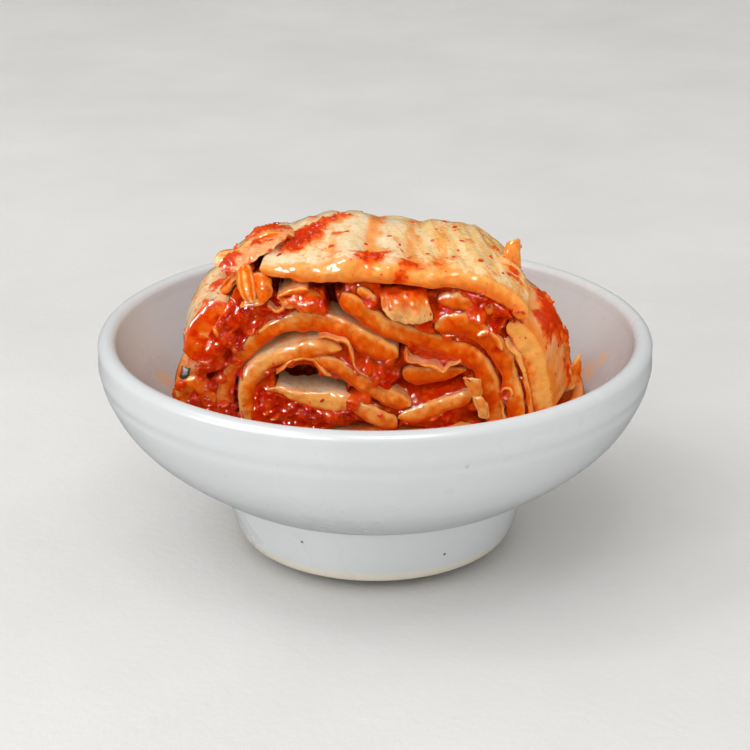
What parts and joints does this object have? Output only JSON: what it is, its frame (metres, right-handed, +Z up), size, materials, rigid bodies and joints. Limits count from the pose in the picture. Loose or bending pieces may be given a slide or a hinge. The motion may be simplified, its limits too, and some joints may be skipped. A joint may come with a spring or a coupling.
{
  "type": "kimchi in a bowl",
  "caption": "Cut bundle of folded napa-cabbage kimchi leaves with red chili seasoning, standing in a round white footed side-dish bowl.",
  "frame": {"origin": "centre of the bowl's foot ring, on the surface it stands on", "axes": "+Z up, the leaves run along Y and their cut ends face -Y, +X to the right of that cut face"},
  "size_m": [0.14, 0.14, 0.0827],
  "materials": {
    "glaze": "gloss",
    "leaf_pale": "wet",
    "leaf_stained": "wet",
    "leaf_red": "wet",
    "leaf_green": "wet"
  },
  "bodies": {
    "root": {"bowl": "glaze", "leaf_top": "leaf_pale", "leaf_under_top": "leaf_stained", "leaf_left": "leaf_stained", "leaf_left_low": "leaf_red", "leaf_arch_outer": "leaf_stained", "leaf_arch_inner": "leaf_pale", "leaf_diagonal": "leaf_stained", "leaf_low_left": "leaf_pale", "leaf_low_mid": "leaf_stained", "leaf_low_right": "leaf_stained", "leaf_cradle": "leaf_stained", "leaf_arch_right": "leaf_stained", "leaf_strip": "leaf_stained", "leaf_tongue": "leaf_pale", "leaf_arch_small": "leaf_stained", "leaf_sheet": "leaf_pale", "leaf_right": "leaf_pale", "leaf_base": "leaf_stained", "leaf_base_middle": "leaf_stained", "leaf_base_inner": "leaf_stained", "leaf_shoulder": "leaf_stained", "leaf_membrane": "leaf_pale", "leaf_stem": "leaf_pale", "leaf_crumple": "leaf_red", "leaf_curl": "leaf_pale", "scrap_right": "leaf_red", "scrap_upright": "leaf_pale", "scrap_back_left": "leaf_red", "leaf_green": "leaf_green"}
  },
  "joints": []
}
